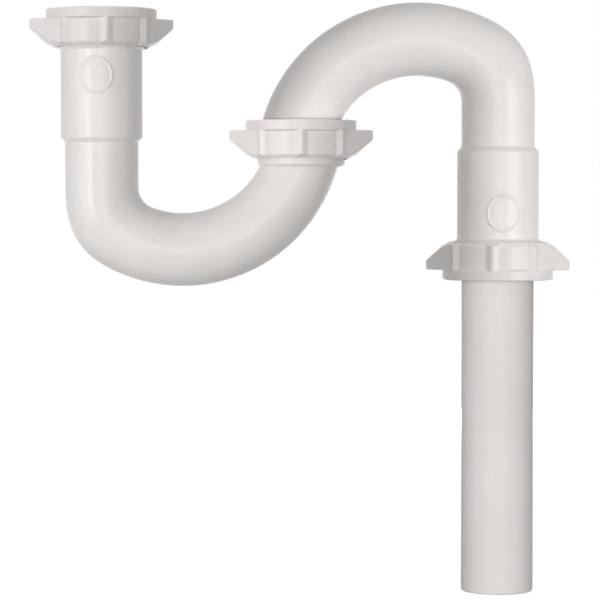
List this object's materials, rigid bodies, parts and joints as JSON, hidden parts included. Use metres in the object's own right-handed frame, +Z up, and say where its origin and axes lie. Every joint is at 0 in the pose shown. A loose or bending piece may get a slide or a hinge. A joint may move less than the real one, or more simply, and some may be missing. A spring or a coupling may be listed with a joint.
{
  "type": "s trap",
  "caption": "White plastic sink S trap: J bend and return bend joined by a winged slip-nut union, with an inlet socket, bevelled washers and a plain outlet tube.",
  "frame": {"origin": "on the inlet axis, where the inlet socket's straight bore begins below its lead-in bevel", "axes": "+Z up, out of the inlet socket; +X from the inlet axis to the outlet axis; Y across the plane that holds the three axes"},
  "size_m": [0.2849, 0.0584, 0.3116],
  "materials": {
    "bend_plastic": "white moulded plastic, soft gloss",
    "tube_plastic": "white extruded plastic, satin",
    "nut_plastic": "white moulded plastic, soft gloss",
    "washer_plastic": "natural polyethylene, waxy"
  },
  "bodies": {
    "trap": {"j_bend": "bend_plastic"},
    "inlet_seal": {"inlet_washer": "washer_plastic"},
    "inlet_grip": {"inlet_nut": "nut_plastic"},
    "union_seal": {"union_washer": "washer_plastic"},
    "union_grip": {"union_nut": "nut_plastic"},
    "return": {"return_bend": "bend_plastic"},
    "outlet_seal": {"outlet_washer": "washer_plastic"},
    "outlet_grip": {"outlet_nut": "nut_plastic"},
    "outlet_tube": {"tailpiece": "tube_plastic"}
  },
  "joints": [
    {"name": "inlet_nut_lift", "type": "slide", "parent": "trap", "child": "inlet_seal", "axis": [0, 0, 1], "range_m": [0, 0.0122]},
    {"name": "inlet_nut_turn", "type": "hinge", "parent": "inlet_seal", "child": "inlet_grip", "pos_m": [0, 0, 0], "axis": [0, 0, 1], "range_deg": [0, 1980]},
    {"name": "union_nut_lift", "type": "slide", "parent": "trap", "child": "union_seal", "axis": [0, 0, 1], "range_m": [0, 0.0017]},
    {"name": "union_nut_turn", "type": "hinge", "parent": "union_seal", "child": "union_grip", "pos_m": [0.10545, 0, 0], "axis": [0, 0, 1], "range_deg": [0, 270]},
    {"name": "return_swivel", "type": "hinge", "parent": "trap", "child": "return", "pos_m": [0.10545, 0, 0], "axis": [0, 0, 1], "range_deg": [-140, 140]},
    {"name": "outlet_nut_drop", "type": "slide", "parent": "return", "child": "outlet_seal", "axis": [0, 0, -1], "range_m": [0, 0.0122]},
    {"name": "outlet_nut_turn", "type": "hinge", "parent": "outlet_seal", "child": "outlet_grip", "pos_m": [0.20955, 0, 0], "axis": [0, 0, -1], "range_deg": [0, 1980]},
    {"name": "tailpiece_slide", "type": "slide", "parent": "return", "child": "outlet_tube", "axis": [0, 0, -1], "range_m": [0, 0.045]}
  ],
  "couplings": [
    {"joint": "inlet_nut_lift", "follows": "inlet_nut_turn", "m_per_rad": 0.00035153},
    {"joint": "union_nut_lift", "follows": "union_nut_turn", "m_per_rad": 0.00035153},
    {"joint": "outlet_nut_drop", "follows": "outlet_nut_turn", "m_per_rad": 0.00035153}
  ]
}
